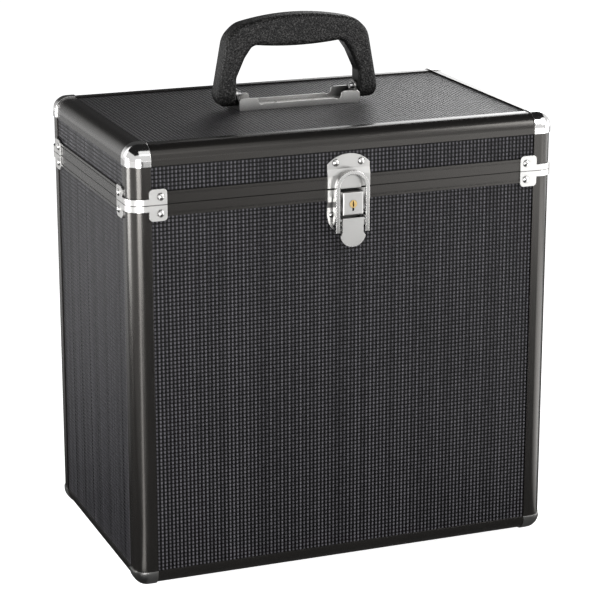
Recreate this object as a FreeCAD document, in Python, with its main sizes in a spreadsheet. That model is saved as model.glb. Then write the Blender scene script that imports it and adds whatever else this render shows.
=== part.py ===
"""Record carrying case: a box and a hinged lid of textured boards held in metal edge rails.

Frame: X across the front, Y from front to back, Z up. The origin is on the floor, under the
middle of the case. The front, with the latch, faces -Y.
"""
import FreeCAD, Part
import math
import os
import re
import Sketcher

# Driving sizes in millimetres. Each one is a cell of the sheet.
SIZES = {
    # whole case, measured over the metal rails
    "case_width": 350.0,
    "case_depth": 215.0,
    "case_height": 350.0,
    "lid_height": 45.0,
    "ground_gap": 4.0,
    "seam_gap": 0.5,
    # boards and the sheet metal of the rails
    "rail_wall": 1.2,
    "panel_thick": 5.0,
    "edge_clear": 0.2,
    "nose_radius": 11.0,
    "post_flange": 17.0,
    "base_rail_rise": 12.5,
    "base_rail_reach": 17.5,
    "lid_rail_drop": 15.5,
    "lid_rail_reach": 16.0,
    "inner_leg": 12.0,
    "mitre_gap": 0.2,
    "overrun": 1.0,
    # rims that meet at the seam, with a tongue below and a groove above
    "body_rim_drop": 9.0,
    "body_rim_web": 2.0,
    "lid_rim_rise": 10.0,
    "lid_rim_web": 5.0,
    "rim_inner_leg": 9.0,
    "rim_bead_tall": 1.8,
    "rim_groove_tall": 0.8,
    "rim_groove_deep": 0.5,
    "tongue_inset": 2.9,
    "tongue_wide": 1.6,
    "tongue_tall": 2.5,
    "tongue_clear": 0.7,
    # plates that cross a rim step back to the board beyond it
    "joggle_gap": 0.8,
    "joggle_run": 4.7,
    # ball corners
    "cap_wall": 0.9,
    "cap_reach": 17.0,
    # riveted brackets at the seam corners
    "bracket_wall": 1.2,
    "bracket_leaf_start": 15.0,
    "bracket_leaf_end": 29.0,
    "bracket_leaf_tall": 12.0,
    "bracket_leaf_round": 3.0,
    "bracket_band_tall": 4.6,
    "bracket_rivet_inset": 24.0,
    "bracket_rivet_drop": 6.2,
    # rivets
    "rivet_shank_radius": 1.5,
    "rivet_head_radius": 3.0,
    "rivet_head_tall": 1.5,
    # latch plates
    "latch_wall": 1.2,
    "latch_plate_wide": 35.0,
    "catch_side_tall": 19.5,
    "catch_apex": 27.0,
    "catch_foot": 0.9,
    "catch_rivet_spread": 21.0,
    "catch_rivet_up": 20.4,
    "boss_wide": 17.0,
    "boss_top": 13.0,
    "boss_out": 5.0,
    "base_plate_long": 37.0,
    "base_plate_start": 0.4,
    "base_rivet_spread": 27.6,
    "base_rivet_down": 20.0,
    "base_low_rivet_down": 31.0,
    "base_rivet_head_tall": 1.0,
    "base_rivet_head_radius": 2.4,
    # lock case and key cylinder
    "lock_wide": 17.0,
    "lock_top_down": 1.2,
    "lock_bottom_down": 19.4,
    "lock_out": 10.0,
    "lock_edge_round": 1.0,
    "key_down": 10.5,
    "key_radius": 3.0,
    "key_proud": 0.3,
    "key_long": 7.0,
    "key_clear": 0.06,
    "key_slot_wide": 1.2,
    "key_slot_tall": 4.2,
    "key_slot_deep": 3.0,
    "keyway_wide": 1.6,
    "keyway_down": 5.6,
    "keyway_deep": 2.0,
    # latch lever, its pivot and the pin that carries the loop
    "pivot_down": 23.5,
    "pivot_out": 7.2,
    "pivot_pin_radius": 1.1,
    "pin_clear": 0.06,
    "pivot_eye_radius": 2.0,
    "loop_pin_down": 30.0,
    "loop_pin_out": 4.8,
    "lever_wide": 17.2,
    "lever_flare_wide": 20.6,
    "lever_neck_down": 33.0,
    "lever_tip_down": 44.3,
    "lever_tip_radius": 10.5,
    "lever_out": 10.0,
    "lever_arm_low_down": 39.0,
    "ear_gap": 0.4,
    "ear_root_tall": 10.0,
    # loop that hooks over the catch
    "loop_wide": 27.6,
    "loop_band": 3.2,
    "loop_top": 15.5,
    "loop_foot_down": 33.0,
    "loop_out": 9.4,
    "loop_wall_in": 5.6,
    "loop_leg_in": 2.6,
    "loop_leg_top_down": 6.0,
    # hinges on the back
    "hinge_spread": 200.0,
    "hinge_wide": 50.0,
    "hinge_leaf_wall": 1.5,
    "hinge_leaf_tall": 27.0,
    "hinge_leaf_round": 4.0,
    "knuckle_radius": 3.2,
    "knuckle_off": 0.3,
    "knuckle_gap": 0.4,
    "hinge_pin_radius": 1.6,
    "hinge_pin_clear": 0.05,
    "hinge_rivet_spread": 34.0,
    "hinge_rivet_off": 20.5,
    # handle, its saddle bracket and pins
    "handle_back": 6.0,
    "handle_thick": 20.0,
    "handle_top": 72.8,
    "handle_crown_half": 50.0,
    "handle_crown_radius": 200.0,
    "handle_shoulder_half": 60.2,
    "handle_shoulder_up": 57.0,
    "handle_foot_half": 70.5,
    "handle_foot_up": 1.0,
    "handle_foot_inner": 52.4,
    "handle_foot_round": 10.0,
    "handle_knee_inner": 52.1,
    "handle_knee_up": 24.5,
    "handle_leg_top_inner": 45.0,
    "handle_leg_top_up": 40.0,
    "handle_belly_half": 38.0,
    "handle_belly_up": 47.5,
    "handle_belly_radius": 300.0,
    "handle_corner_round": 18.0,
    "handle_inner_round": 7.0,
    "handle_edge_round": 4.5,
    "handle_pivot_up": 10.5,
    "handle_pin_radius": 2.5,
    "handle_pin_clear": 0.08,
    "handle_pin_bite": 8.0,
    "handle_pin_tail": 3.0,
    "saddle_long": 103.0,
    "saddle_wide": 24.0,
    "saddle_wall": 1.5,
    "saddle_high": 8.5,
    "saddle_low": 3.5,
    "saddle_high_end": 38.0,
    "saddle_low_start": 30.0,
    "saddle_ear_radius": 4.5,
    "saddle_rivet_outer": 42.0,
    "saddle_rivet_inner": 16.0,
    # feet and the screws that hold them
    "foot_radius": 9.0,
    "foot_top_radius": 8.0,
    "foot_inset": 28.5,
    "foot_recess_radius": 4.0,
    "foot_recess_deep": 2.2,
    "screw_head_radius": 3.2,
    "screw_head_tall": 1.4,
    "screw_shank_radius": 1.5,
    # linings
    "pad_thick": 5.0,
    "pad_inset": 13.0,
    "pad_clear": 0.3,
}

SIDE_TURNS = {"front": 0, "right": 90, "back": 180, "left": 270}
CORNER_TURNS = {"front_left": 0, "front_right": 90, "back_right": 180, "back_left": 270}
X_AXIS = FreeCAD.Vector(1, 0, 0)
Y_AXIS = FreeCAD.Vector(0, 1, 0)
Z_AXIS = FreeCAD.Vector(0, 0, 1)

doc = FreeCAD.newDocument("record_case")
sheet = doc.addObject("Spreadsheet::Sheet", "Sizes")
for row, (alias, number) in enumerate(SIZES.items(), 1):
    sheet.set(f"A{row}", str(number))
    sheet.setAlias(f"A{row}", alias)
doc.recompute()

# Heights and depths that many pieces share, written in the sheet's names.
BASE = "ground_gap"
TOP = "(ground_gap + case_height)"
SEAM = "(ground_gap + case_height - lid_height)"
FRONT = "(case_depth / 2)"
SLOT = "(rail_wall + panel_thick)"
CORE = "(2 * rail_wall + panel_thick)"

# Two places nearer than this share of the overrun are one.
SAME_PLACE_SHARE = 1 / 1000
HINGE_KNUCKLES = 5

nodes = {}
bores = {}


def tied(text):
    """The expression with each size's name turned into a reference to the sheet."""
    return re.sub(r"[a-z_]+", lambda m: "Sizes." + m[0] if m[0] in SIZES else m[0], text)


def worth(text):
    """The expression's number in millimetres."""
    result = sheet.evalExpression(tied(text))
    return float(getattr(result, "Value", result))


def meets(value, text):
    """Whether a coordinate lies at the place that the expression gives."""
    return abs(value - worth(text)) < SAME_PLACE_SHARE * worth("overrun")


def runs_back(edge):
    """Whether an edge is straight and runs from front to back."""
    first, last = edge.Vertexes[0], edge.Vertexes[-1]
    return meets(first.X - last.X, "0") and meets(first.Z - last.Z, "0")


def bind(item, **expressions):
    for prop, text in expressions.items():
        item.setExpression(prop.replace("__", "."), tied(text))


def place(item, across="0", back="0", up="0", rotation=None):
    """Put an object at a point given in the sheet's names, after an optional turn."""
    if rotation is not None:
        item.Placement = FreeCAD.Placement(FreeCAD.Vector(), rotation)
    bind(item, Placement__Base__x=across, Placement__Base__y=back, Placement__Base__z=up)
    return item


def keep(label, item):
    """Name a finished piece. Its holes are drilled when all pieces are made."""
    item.Label = label
    nodes[label] = item
    return item


def draw(sketch, outline):
    """A closed outline. A corner is (x, y), or (x, y, centre x, centre y, turn) after an arc."""
    count = len(outline)
    spots = [(worth(corner[0]), worth(corner[1])) for corner in outline]
    pieces = []
    for index, corner in enumerate(outline):
        begin, end = spots[index - 1], spots[index]
        if len(corner) == 2:
            line = Part.LineSegment(FreeCAD.Vector(*begin, 0), FreeCAD.Vector(*end, 0))
            pieces.append((sketch.addGeometry(line), 1, 2))
            continue
        middle = (worth(corner[2]), worth(corner[3]))
        if corner[4] == "clockwise":
            begin, end = end, begin
        radius = math.hypot(begin[0] - middle[0], begin[1] - middle[1])
        circle = Part.Circle(FreeCAD.Vector(*middle, 0), Z_AXIS, radius)
        first = math.atan2(begin[1] - middle[1], begin[0] - middle[0])
        last = math.atan2(end[1] - middle[1], end[0] - middle[0])
        if last <= first:
            last += 2 * math.pi
        arc = sketch.addGeometry(Part.ArcOfCircle(circle, first, last))
        pieces.append((arc, 2, 1) if corner[4] == "clockwise" else (arc, 1, 2))
        across, along = abs(end[0] - begin[0]), abs(end[1] - begin[1])
        if along > across:
            hold(sketch, "DistanceX", arc, 3, corner[2])
        else:
            hold(sketch, "DistanceY", arc, 3, corner[3])
    for index in range(count):
        piece, start, finish = pieces[index]
        following, next_start, next_finish = pieces[(index + 1) % count]
        sketch.addConstraint(Sketcher.Constraint("Coincident", piece, finish, following, next_start))
        hold(sketch, "DistanceX", piece, finish, outline[index][0])
        hold(sketch, "DistanceY", piece, finish, outline[index][1])


def hold(sketch, kind, geometry, point, text):
    """Tie one coordinate of a point of the sketch to the sheet."""
    item = sketch.addConstraint(Sketcher.Constraint(kind, -1, 1, geometry, point, worth(text)))
    sketch.setExpression(f"Constraints[{item}]", tied(text))


def draw_circle(sketch, across, up, radius):
    middle = FreeCAD.Vector(worth(across), worth(up), 0)
    ring = sketch.addGeometry(Part.Circle(middle, Z_AXIS, worth(radius)))
    hold(sketch, "DistanceX", ring, 3, across)
    hold(sketch, "DistanceY", ring, 3, up)
    item = sketch.addConstraint(Sketcher.Constraint("Radius", ring, worth(radius)))
    sketch.setExpression(f"Constraints[{item}]", tied(radius))


def sketch_on(body, plane, offset, outlines, circles=()):
    """A sketch on one of the body's own planes, moved along that plane's normal."""
    support = next(item for item in body.Origin.OriginFeatures if item.Role == plane + "_Plane")
    sketch = body.newObject("Sketcher::SketchObject", body.Name + "_sketch")
    sketch.AttachmentSupport = [(support, "")]
    sketch.MapMode = "FlatFace"
    bind(sketch, AttachmentOffset__Base__z=offset)
    for outline in outlines:
        draw(sketch, outline)
    for circle in circles:
        draw_circle(sketch, *circle)
    return sketch


def new_body(name):
    return doc.addObject("PartDesign::Body", name)


def pad(body, plane, offset, length, *outlines, circles=()):
    """Extrude from the offset along the plane's normal: XY goes up, XZ to the front, YZ right."""
    feature = body.newObject("PartDesign::Pad", body.Name + "_pad")
    feature.Profile = sketch_on(body, plane, offset, outlines, circles)
    bind(feature, Length=length)
    return feature


def pocket(body, plane, offset, length, *outlines, circles=()):
    """Cut from the offset along the plane's normal, the way a pad grows."""
    doc.recompute()
    before = body.Shape.Volume
    feature = body.newObject("PartDesign::Pocket", body.Name + "_pocket")
    feature.Profile = sketch_on(body, plane, offset, outlines, circles)
    feature.Reversed = True
    bind(feature, Length=length)
    doc.recompute()
    if not body.Shape.Volume < before:
        raise RuntimeError(body.Name + ": a pocket cuts nothing")
    return feature


def fillet(body, radius, chosen):
    """Round the edges of the body for which chosen says yes."""
    doc.recompute()
    tip = body.Tip
    names = [f"Edge{n}" for n, edge in enumerate(tip.Shape.Edges, 1) if chosen(edge)]
    feature = body.newObject("PartDesign::Fillet", body.Name + "_fillet")
    feature.Base = (tip, names)
    bind(feature, Radius=radius)
    doc.recompute()
    return feature


def rectangle(left, low, right, high):
    return [(left, low), (right, low), (right, high), (left, high)]


def block(label, across, back, up, wide, deep, tall):
    """A board with its lowest corner at a point."""
    board = doc.addObject("Part::Box", label + "_box")
    bind(board, Length=wide, Width=deep, Height=tall)
    return keep(label, place(board, across, back, up))


def rod(name, across, back, up, along, radius, length):
    """A plain cylinder that starts at a point and runs along a direction."""
    bar = doc.addObject("Part::Cylinder", name)
    bind(bar, Radius=radius, Height=length)
    return place(bar, across, back, up, FreeCAD.Rotation(Z_AXIS, along))


def bore(label, across, back, up, along, radius, length):
    bores.setdefault(label, []).append((across, back, up, along, radius, length))


def group(label, items):
    together = doc.addObject("Part::Compound", label + "_group")
    together.Links = items
    return keep(label, together)


# Boards.

def panels():
    half_wide = f"(case_width / 2 - {CORE} - edge_clear)"
    half_deep = f"(case_depth / 2 - {CORE} - edge_clear)"
    storeys = {
        "body": (f"({BASE} + {CORE} + edge_clear)", f"({SEAM} - body_rim_web - edge_clear)"),
        "lid": (f"({SEAM} + seam_gap + lid_rim_web + edge_clear)", f"({TOP} - {CORE} - edge_clear)"),
    }
    for storey, (low, high) in storeys.items():
        tall = f"{high} - {low}"
        front_y = f"-{FRONT} + rail_wall"
        back_y = f"{FRONT} - {SLOT}"
        left_x = "-case_width / 2 + rail_wall"
        right_x = f"case_width / 2 - {SLOT}"
        wide, deep = f"2 * {half_wide}", f"2 * {half_deep}"
        block(storey + "_front_panel", f"-{half_wide}", front_y, low, wide, "panel_thick", tall)
        block(storey + "_back_panel", f"-{half_wide}", back_y, low, wide, "panel_thick", tall)
        block(storey + "_left_panel", left_x, f"-{half_deep}", low, "panel_thick", deep, tall)
        block(storey + "_right_panel", right_x, f"-{half_deep}", low, "panel_thick", deep, tall)
    floor_z, roof_z = f"{BASE} + rail_wall", f"{TOP} - {SLOT}"
    wide, deep = f"2 * {half_wide}", f"2 * {half_deep}"
    block("body_bottom_panel", f"-{half_wide}", f"-{half_deep}", floor_z, wide, deep, "panel_thick")
    block("lid_top_panel", f"-{half_wide}", f"-{half_deep}", roof_z, wide, deep, "panel_thick")


# Edge rails: an outer skin with a round nose, a slot for each board and an inner leg.

def edge_profile(first_flange, second_flange):
    return [
        (first_flange, "0"),
        (first_flange, "rail_wall"),
        (CORE, "rail_wall"),
        (CORE, SLOT),
        ("inner_leg", SLOT),
        ("inner_leg", CORE),
        (CORE, CORE),
        (CORE, "inner_leg"),
        (SLOT, "inner_leg"),
        (SLOT, CORE),
        ("rail_wall", CORE),
        ("rail_wall", second_flange),
        ("0", second_flange),
        ("0", "nose_radius"),
        ("nose_radius", "0", "nose_radius", "nose_radius", "anticlockwise"),
    ]


def mitre(sign, end, flange):
    """The triangle beyond a mitre line at one end, seen along the other flange."""
    near = "(nose_radius - overrun)"
    far = f"({flange} + overrun)"
    inner = f"{sign} * ({end} - {near} - mitre_gap / 2)"
    outer = f"{sign} * ({end} - {far} - mitre_gap / 2)"
    return [(inner, near), (inner, far), (outer, far)]


def rail(name, length, reach, rise):
    """A horizontal rail along X: outer faces at y = 0 and z = 0, boards towards +Y and +Z."""
    body = new_body(name)
    half = f"({length} / 2)"
    pad(body, "YZ", f"-{half} + nose_radius", f"{length} - 2 * nose_radius", edge_profile(reach, rise))
    for sign in (-1, 1):
        pocket(body, "XZ", f"-{reach} - overrun", f"{reach} + 2 * overrun", mitre(sign, half, rise))
        pocket(body, "XY", "-overrun", f"{rise} + 2 * overrun", mitre(sign, half, reach))
    return body


def side_place(item, turn, up, flipped=False):
    """Set a piece made for the front against the side that the turn about Z names."""
    rotation = FreeCAD.Rotation(Z_AXIS, turn)
    if flipped:
        rotation = rotation.multiply(FreeCAD.Rotation(Y_AXIS, 180))
    across = {90: "case_width / 2", 270: "-case_width / 2"}.get(turn, "0")
    back = {0: f"-{FRONT}", 180: FRONT}.get(turn, "0")
    return place(item, across, back, up, rotation)


def by_sides(label, make):
    """The front and back pieces are nodes of their own. The two side pieces share one."""
    sides = []
    for side, turn in SIDE_TURNS.items():
        length = "case_width" if side in ("front", "back") else "case_depth"
        item = make(f"{label}_{side}_blank", length, turn)
        if side in ("front", "back"):
            keep(f"{label}_{side}", item)
        else:
            sides.append(item)
    group(f"{label}_sides", sides)


def rails():
    def base_rail(name, length, turn):
        return side_place(rail(name, length, "base_rail_reach", "base_rail_rise"), turn, BASE)

    def lid_rail(name, length, turn):
        return side_place(rail(name, length, "lid_rail_reach", "lid_rail_drop"), turn, TOP, True)

    by_sides("base_rail", base_rail)
    by_sides("lid_rail", lid_rail)


def post(name, length, rise):
    """A vertical rail up from the mitred corner at the origin: outer faces at x = 0 and y = 0.

    Its flanges stand on the crossing rails, which rise so far.
    """
    body = new_body(name)
    flange = "post_flange"
    pad(body, "XY", "nose_radius", f"{length} - nose_radius", edge_profile(flange, flange))
    near, far = "(nose_radius - overrun)", "(post_flange + overrun)"
    level = f"({rise} + mitre_gap / 2)"
    below = [(near, near), (far, near), (far, level), (rise, level), (near, f"{near} + mitre_gap / 2")]
    pocket(body, "XZ", f"-{far}", f"{far} + overrun", below)
    pocket(body, "YZ", "-overrun", f"{far} + overrun", below)
    return body


def corner_signs(corner):
    """Which way the corner lies from the middle, to the right and to the back."""
    return (1 if corner.endswith("right") else -1), (1 if corner.startswith("back") else -1)


def corner_place(item, corner, up, flipped=False):
    """Set a piece made for the front left lower corner at any of the eight corners."""
    right, back = corner_signs(corner)
    rotation = FreeCAD.Rotation(Z_AXIS, CORNER_TURNS[corner])
    if flipped:
        rotation = rotation.multiply(FreeCAD.Rotation(Z_AXIS, 90)).multiply(FreeCAD.Rotation(X_AXIS, 180))
    return place(item, f"{right} * case_width / 2", f"{back} * case_depth / 2", up, rotation)


def posts():
    for corner in CORNER_TURNS:
        lower = post(f"body_post_{corner}_blank", "(case_height - lid_height)", "base_rail_rise")
        keep(f"body_post_{corner}", corner_place(lower, corner, BASE))
        upper = post(f"lid_post_{corner}_blank", "(lid_height - seam_gap)", "lid_rail_drop")
        keep(f"lid_post_{corner}", corner_place(upper, corner, TOP, True))


# Rims at the seam.

def body_rim(name, length, turn):
    body = new_body(name)
    tongue_end = "(tongue_inset + tongue_wide)"
    bead_end = "(rim_bead_tall - body_rim_drop)"
    outline = [
        ("0", "0"),
        ("0", f"{bead_end} + rim_groove_tall"),
        ("rim_groove_deep", f"{bead_end} + rim_groove_tall"),
        ("rim_groove_deep", bead_end),
        ("0", bead_end),
        ("0", "-body_rim_drop"),
        ("rail_wall", "-body_rim_drop"),
        ("rail_wall", "-body_rim_web"),
        (SLOT, "-body_rim_web"),
        (SLOT, "-rim_inner_leg"),
        (CORE, "-rim_inner_leg"),
        (CORE, "0"),
        (tongue_end, "0"),
        (tongue_end, "tongue_tall"),
        ("tongue_inset", "tongue_tall"),
        ("tongue_inset", "0"),
    ]
    span = f"({length} - 2 * post_flange - 2 * edge_clear)"
    pad(body, "YZ", f"-{span} / 2", span, outline)
    return side_place(body, turn, SEAM)


def lid_rim(name, length, turn):
    body = new_body(name)
    groove_start = "(tongue_inset - tongue_clear)"
    groove_end = "(tongue_inset + tongue_wide + tongue_clear)"
    groove_top = "(tongue_tall + tongue_clear)"
    bead_end = "(lid_rim_rise - rim_bead_tall)"
    outline = [
        ("0", "seam_gap"),
        (groove_start, "seam_gap"),
        (groove_start, groove_top),
        (groove_end, groove_top),
        (groove_end, "seam_gap"),
        (CORE, "seam_gap"),
        (CORE, "rim_inner_leg"),
        (SLOT, "rim_inner_leg"),
        (SLOT, "seam_gap + lid_rim_web"),
        ("rail_wall", "seam_gap + lid_rim_web"),
        ("rail_wall", "lid_rim_rise"),
        ("0", "lid_rim_rise"),
        ("0", bead_end),
        ("rim_groove_deep", bead_end),
        ("rim_groove_deep", f"{bead_end} - rim_groove_tall"),
        ("0", f"{bead_end} - rim_groove_tall"),
    ]
    span = f"({length} - 2 * post_flange - 2 * edge_clear)"
    pad(body, "YZ", f"-{span} / 2", span, outline)
    return side_place(body, turn, SEAM)


# Ball corners.

def corner_block(name, low, high, rise, radius):
    """A block with its lowest corner and that corner's three edges rounded."""
    body = new_body(name)
    pad(body, "XY", low, f"{rise} - ({low})", rectangle(low, low, high, high))

    def meets_corner(edge):
        return any(all(meets(value, low) for value in v.Point) for v in edge.Vertexes)

    fillet(body, radius, meets_corner)
    return body


def corner_cap(name, rise):
    """A ball corner as tall as the rails that it joins."""
    outer = corner_block(name + "_outer", "-cap_wall", "cap_reach", rise, "nose_radius + cap_wall")
    inner = corner_block(name + "_inner", "0", "cap_reach + overrun", f"({rise} + overrun)", "nose_radius")
    cap = doc.addObject("Part::Cut", name)
    cap.Base, cap.Tool = outer, inner
    return cap


def corner_caps():
    lower, upper = [], []
    for corner in CORNER_TURNS:
        cap = corner_cap(f"base_cap_{corner}", "base_rail_rise")
        lower.append(corner_place(cap, corner, BASE))
        cap = corner_cap(f"lid_cap_{corner}", "lid_rail_drop")
        upper.append(corner_place(cap, corner, TOP, True))
    group("base_corner_caps", lower)
    group("lid_corner_caps", upper)


# Rivets and the brackets at the seam corners.

def rivet(name, at, along, grip, head_radius="rivet_head_radius", head_tall="rivet_head_tall"):
    """A domed rivet whose head sits at a point and faces along a direction."""
    body = new_body(name)
    ball = f"(({head_radius} ^ 2 + {head_tall} ^ 2) / (2 * {head_tall}))"
    outline = [
        ("0", head_tall, "0", f"{head_tall} - {ball}", "anticlockwise"),
        ("0", f"-({grip})"),
        ("rivet_shank_radius", f"-({grip})"),
        ("rivet_shank_radius", "0"),
        (head_radius, "0"),
    ]
    turned = body.newObject("PartDesign::Revolution", name + "_turned")
    profile = sketch_on(body, "XZ", "0", [outline])
    turned.Profile = profile
    turned.ReferenceAxis = (profile, ["V_Axis"])
    return place(body, *at, FreeCAD.Rotation(Z_AXIS, along))


def riveted(label, spots, grip, targets, **head):
    """Rivets at the spots, each (point, direction, pieces), and their holes."""
    made = []
    for number, (at, along, pieces) in enumerate(spots, 1):
        made.append(rivet(f"{label}_{number}", at, along, grip, **head))
        for piece in targets + pieces:
            bore(piece, *at, -along, "rivet_shank_radius", grip)
    group(label, made)


def leaf(sign):
    """One leaf of a seam bracket, seen square on: u away from the corner, v away from the seam."""
    start, end, tall = "bracket_leaf_start", "bracket_leaf_end", "bracket_leaf_tall"
    turn = "bracket_leaf_round"
    low, soft = f"{sign} * {tall}", f"{sign} * ({tall} - {turn})"
    way = "anticlockwise" if sign < 0 else "clockwise"
    return [
        (start, "0"),
        (start, soft),
        (f"{start} + {turn}", low, f"{start} + {turn}", soft, way),
        (f"{end} - {turn}", low),
        (end, soft, f"{end} - {turn}", soft, way),
        (end, "0"),
    ]


def seam_bracket(name, sign):
    """A band round the post's nose with a leaf at each end, below the seam or above it."""
    body = new_body(name)
    wall, end, nose = "bracket_wall", "bracket_leaf_end", "nose_radius"
    band = [
        (end, f"-{wall}"),
        (end, "0"),
        (nose, "0"),
        ("0", nose, nose, nose, "clockwise"),
        ("0", end),
        (f"-{wall}", end),
        (f"-{wall}", nose),
        (nose, f"-{wall}", nose, nose, "anticlockwise"),
    ]
    low = "-bracket_band_tall" if sign < 0 else "0"
    pad(body, "XY", low, "bracket_band_tall", band)
    pad(body, "XZ", "0", wall, leaf(sign))
    pad(body, "YZ", f"-{wall}", wall, leaf(sign))
    return body


def seam_brackets():
    for storey, sign, seam in (("body", -1, SEAM), ("lid", 1, f"{SEAM} + seam_gap")):
        brackets, spots = [], []
        up = f"{seam} + {sign} * bracket_rivet_drop"
        for corner in CORNER_TURNS:
            right, back = corner_signs(corner)
            item = seam_bracket(f"{storey}_bracket_{corner}", sign)
            brackets.append(corner_place(item, corner, seam))
            face = "front" if back < 0 else "back"
            side = "left" if right < 0 else "right"
            at = (f"{right} * (case_width / 2 - bracket_rivet_inset)",
                  f"{back} * (case_depth / 2 + bracket_wall)", up)
            pieces = [f"{storey}_rim_{face}", f"{storey}_{face}_panel"]
            spots.append((at, FreeCAD.Vector(0, back, 0), pieces))
            at = (f"{right} * (case_width / 2 + bracket_wall)",
                  f"{back} * (case_depth / 2 - bracket_rivet_inset)", up)
            pieces = [f"{storey}_rim_sides", f"{storey}_{side}_panel"]
            spots.append((at, FreeCAD.Vector(right, 0, 0), pieces))
        group(f"{storey}_seam_brackets", brackets)
        grip = f"bracket_wall + {SLOT}"
        riveted(f"{storey}_bracket_rivets", spots, grip, [f"{storey}_seam_brackets"])


# Latch. Distances out are from the rails' front face, and distances down are from the seam.

def joggle(sign):
    """The heights where a plate starts and ends its step, below the seam or above it."""
    rim = "body_rim_drop" if sign < 0 else "lid_rim_rise"
    first = f"({SEAM} + {sign} * ({rim} + joggle_gap))"
    return first, f"({first} + {sign} * joggle_run)"


def joggled(sign, start, end):
    """The side view of a plate that steps from the rim's face back to the board's."""
    outer, board = f"(-{FRONT} - latch_wall)", f"(-{FRONT} + rail_wall)"
    step = "(latch_wall / 3)"
    first, second = joggle(sign)
    return [
        (outer, start),
        (outer, first),
        (f"{outer} + rail_wall", second),
        (f"{outer} + rail_wall", end),
        (board, end),
        (board, f"{second} - {sign} * {step}"),
        (f"-{FRONT}", f"{first} - {sign} * {step}"),
        (f"-{FRONT}", start),
    ]


def trimmed(body, outline):
    """Cut away what lies outside the outline, seen from the front."""
    margin = "(latch_plate_wide / 2 + overrun)"
    frame = rectangle(f"-{margin}", f"{SEAM} - 2 * latch_plate_wide",
                      margin, f"{SEAM} + 2 * latch_plate_wide")
    pocket(body, "XZ", f"{FRONT} - latch_plate_wide", "2 * latch_plate_wide", frame, outline)


def catch_plate():
    body = new_body("latch_catch_plate_blank")
    half = "(latch_plate_wide / 2)"
    low, side = f"({SEAM} + catch_foot)", f"({SEAM} + catch_side_tall)"
    apex = f"({SEAM} + catch_apex)"
    rise = "(catch_apex - catch_side_tall)"
    arch = f"(({half} ^ 2 + {rise} ^ 2) / (2 * {rise}))"
    pad(body, "YZ", f"-{half}", "latch_plate_wide", joggled(1, low, apex))
    outline = [
        (f"-{half}", low),
        (half, low),
        (half, side),
        (f"-{half}", side, "0", f"{apex} - {arch}", "anticlockwise"),
    ]
    trimmed(body, outline)
    boss_half = "(boss_wide / 2)"
    shoulder = f"({SEAM} + boss_top - {boss_half})"
    boss = [
        (f"-{boss_half}", low),
        (boss_half, low),
        (boss_half, shoulder),
        (f"-{boss_half}", shoulder, "0", shoulder, "anticlockwise"),
    ]
    pad(body, "XZ", f"{FRONT} + latch_wall / 2", "boss_out - latch_wall / 2", boss)
    keep("latch_catch_plate", body)
    spots = []
    for sign in (-1, 1):
        at = (f"{sign} * catch_rivet_spread / 2", f"-{FRONT}", f"{SEAM} + catch_rivet_up")
        spots.append((at, -Y_AXIS, []))
    targets = ["latch_catch_plate", "lid_front_panel"]
    riveted("latch_catch_rivets", spots, SLOT, targets)


def base_plate():
    body = new_body("latch_base_plate_blank")
    half = "(latch_plate_wide / 2)"
    high, low = f"({SEAM} - base_plate_start)", f"({SEAM} - base_plate_long)"
    bend = f"({low} + {half})"
    pad(body, "YZ", f"-{half}", "latch_plate_wide", joggled(-1, high, low))
    outline = [
        (half, high),
        (f"-{half}", high),
        (f"-{half}", bend),
        (half, bend, "0", bend, "anticlockwise"),
    ]
    trimmed(body, outline)
    pivot_y, pivot_z = f"(-{FRONT} - pivot_out)", f"({SEAM} - pivot_down)"
    root = f"(-{FRONT} + rail_wall / 2)"
    ear = [
        (root, f"{pivot_z} - pivot_eye_radius"),
        (root, f"{pivot_z} + ear_root_tall"),
        (pivot_y, f"{pivot_z} + pivot_eye_radius"),
        (pivot_y, f"{pivot_z} - pivot_eye_radius", pivot_y, pivot_z, "anticlockwise"),
    ]
    inside = "(lever_wide / 2 + ear_gap)"
    pad(body, "YZ", inside, "latch_wall", ear)
    pad(body, "YZ", f"-{inside} - latch_wall", "latch_wall", ear)
    keep("latch_base_plate", body)
    spots = []
    for sign in (-1, 1):
        at = (f"{sign} * base_rivet_spread / 2", f"-{FRONT}", f"{SEAM} - base_rivet_down")
        spots.append((at, -Y_AXIS, []))
    spots.append((("0", f"-{FRONT}", f"{SEAM} - base_low_rivet_down"), -Y_AXIS, []))
    targets = ["latch_base_plate", "body_front_panel"]
    head = {"head_radius": "base_rivet_head_radius", "head_tall": "base_rivet_head_tall"}
    riveted("latch_base_rivets", spots, SLOT, targets, **head)
    pin_half = f"({inside} + latch_wall)"
    keep("latch_lever_pin",
         rod("latch_lever_pin_rod", f"-{pin_half}", pivot_y, pivot_z, X_AXIS,
             "pivot_pin_radius", f"2 * {pin_half}"))
    bore("latch_base_plate", f"-{pin_half}", pivot_y, pivot_z, X_AXIS,
         "pivot_pin_radius", f"2 * {pin_half}")
    bore("latch_lever", f"-{pin_half}", pivot_y, pivot_z, X_AXIS,
         "pivot_pin_radius + pin_clear", f"2 * {pin_half}")


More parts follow.
